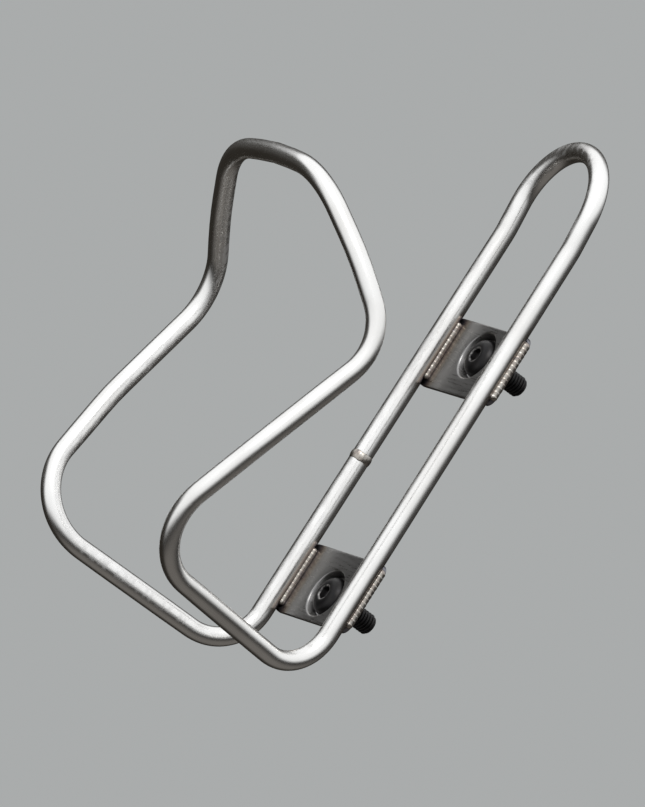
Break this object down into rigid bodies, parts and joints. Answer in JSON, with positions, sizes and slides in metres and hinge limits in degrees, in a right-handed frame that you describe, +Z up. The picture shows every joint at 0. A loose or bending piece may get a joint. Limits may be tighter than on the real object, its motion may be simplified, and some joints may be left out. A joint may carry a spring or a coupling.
{
  "type": "water bottle cage",
  "caption": "Bicycle water bottle cage bent from one thin stainless tube, with a hooped top, splayed arms and a front arch, tabs welded behind its rails and black button head screws.",
  "frame": {"origin": "on the mounting face that touches the bicycle tube, midway between the two mounting screws", "axes": "+Z up along the line of the two screws, +Y out of the mounting face towards the bicycle tube, -Y towards the bottle, X across, with X = 0 the mirror plane"},
  "size_m": [0.084, 0.0872, 0.1423],
  "materials": {
    "stainless_tube": "satin polished",
    "stainless_plate": "satin",
    "weld_metal": "rippled weld bead",
    "black_screw": "black oxide"
  },
  "bodies": {
    "root": {"cage_tube": "stainless_tube", "tube_joint_weld": "weld_metal", "upper_tab": "stainless_plate", "lower_tab": "stainless_plate", "weld_upper_left_outer": "weld_metal", "weld_upper_left_inner": "weld_metal", "weld_upper_right_outer": "weld_metal", "weld_upper_right_inner": "weld_metal", "weld_lower_left_outer": "weld_metal", "weld_lower_left_inner": "weld_metal", "weld_lower_right_outer": "weld_metal", "weld_lower_right_inner": "weld_metal", "upper_bolt": "black_screw", "lower_bolt": "black_screw"}
  },
  "joints": []
}
